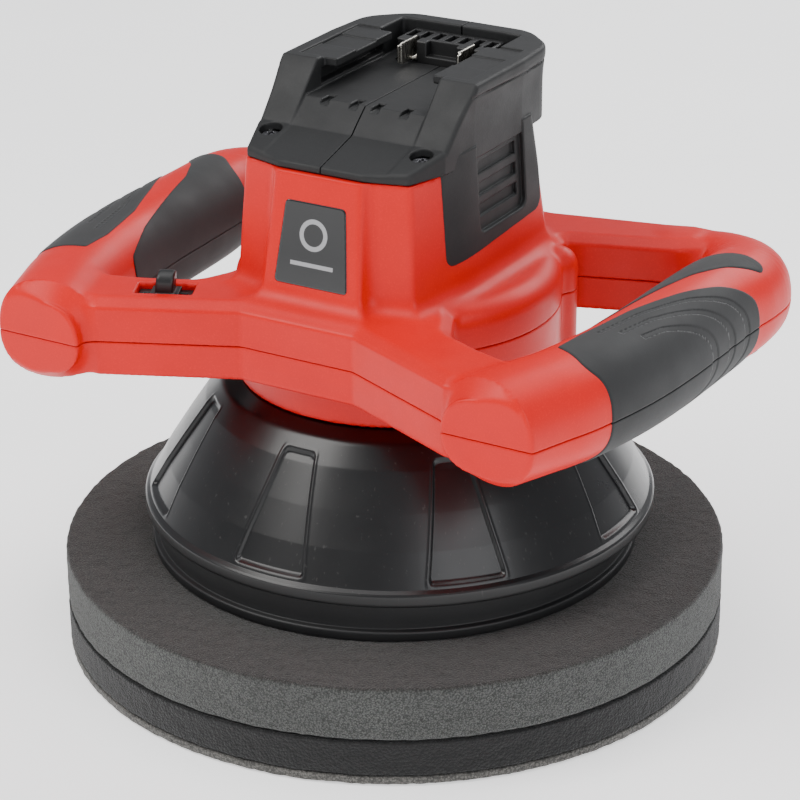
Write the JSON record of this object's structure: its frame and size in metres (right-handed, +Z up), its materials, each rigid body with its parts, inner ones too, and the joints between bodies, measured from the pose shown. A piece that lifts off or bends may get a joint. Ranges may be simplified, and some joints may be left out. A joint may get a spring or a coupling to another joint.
{
  "type": "rotary polisher",
  "caption": "Cordless random-orbital car polisher with two D handles, a battery dock on top, a domed shroud and a round layered foam pad",
  "frame": {"origin": "centre of the foam pad on the floor it stands on", "axes": "+Z up along the spindle, +X to the right between the two handles, -Y towards the side that carries the switch"},
  "size_m": [0.2468, 0.24, 0.2135],
  "materials": {
    "red_plastic": "satin fine-textured moulded plastic",
    "black_plastic": "grainy moulded plastic",
    "shroud_plastic": "semi-gloss moulded plastic",
    "grip_rubber": "soft overmoulded rubber",
    "foam_grey": "closed-cell foam",
    "foam_black": "closed-cell foam",
    "steel": "machined steel",
    "cast_zinc": "cast zinc alloy",
    "aluminium": "pressed aluminium",
    "copper": "copper",
    "carbon": "carbon brush",
    "bronze": "sintered bronze",
    "board": "solder-masked board",
    "label": "glossy plate without lettering",
    "wire_red": "insulated wire"
  },
  "bodies": {
    "housing": {"upper_housing": "red_plastic", "lower_housing": "red_plastic", "dock_left": "black_plastic", "dock_right": "black_plastic", "label_plate": "label", "grip_left_outer_upper": "grip_rubber", "grip_left_outer_lower": "grip_rubber", "grip_left_inner_upper": "grip_rubber", "grip_left_inner_lower": "grip_rubber", "grip_right_outer_upper": "grip_rubber", "grip_right_outer_lower": "grip_rubber", "grip_right_inner_upper": "grip_rubber", "grip_right_inner_lower": "grip_rubber", "dome_shroud": "shroud_plastic", "lower_bearing_outer": "steel", "upper_bearing_outer": "steel", "gearbox_plate": "aluminium", "motor_can": "steel", "motor_magnets": "steel", "motor_end_cap": "black_plastic", "carbon_brushes": "carbon", "motor_bushings": "bronze", "switch_body": "black_plastic", "switch_frame": "black_plastic", "control_board": "board", "control_heatsink": "aluminium", "terminal_block": "black_plastic", "terminal_blades": "steel", "dock_screws": "steel", "housing_screws": "steel", "dome_screws": "steel", "gearbox_screws": "steel", "motor_screws": "steel", "battery_leads": "wire_red", "motor_leads": "wire_red"},
    "spindle_unit": {"eccentric_hub": "cast_zinc", "counterweight": "cast_zinc", "counterweight_screws": "steel", "spindle": "steel", "spindle_gear": "steel", "lower_bearing_inner": "steel", "upper_bearing_inner": "steel", "pad_bearing_outer": "steel"},
    "pad_unit": {"backing_plate": "black_plastic", "foam_top": "foam_grey", "foam_middle": "foam_black", "foam_bottom": "foam_grey", "pad_spindle": "steel", "pad_bolt": "steel", "pad_bearing_inner": "steel"},
    "rotor": {"rotor_core": "steel", "rotor_windings": "copper", "motor_shaft": "steel", "commutator": "copper", "motor_fan": "black_plastic", "motor_pinion": "steel"},
    "switch": {"switch_slider": "black_plastic"}
  },
  "joints": [
    {"name": "spindle_spin", "type": "hinge", "parent": "housing", "child": "spindle_unit", "pos_m": [0, 0.004, 0.09], "axis": [0, 0, 1], "continuous": true},
    {"name": "pad_spin", "type": "hinge", "parent": "spindle_unit", "child": "pad_unit", "pos_m": [0, 0, 0.06], "axis": [0, 0, 1], "continuous": true},
    {"name": "rotor_spin", "type": "hinge", "parent": "housing", "child": "rotor", "pos_m": [0, -0.0128, 0.14], "axis": [0, 0, 1], "continuous": true},
    {"name": "switch_slide", "type": "slide", "parent": "housing", "child": "switch", "axis": [-0.9135, -0.4067, 0], "range_m": [-0.0045, 0.0045]}
  ],
  "couplings": [
    {"joint": "rotor_spin", "follows": "spindle_spin", "ratio": -3}
  ]
}
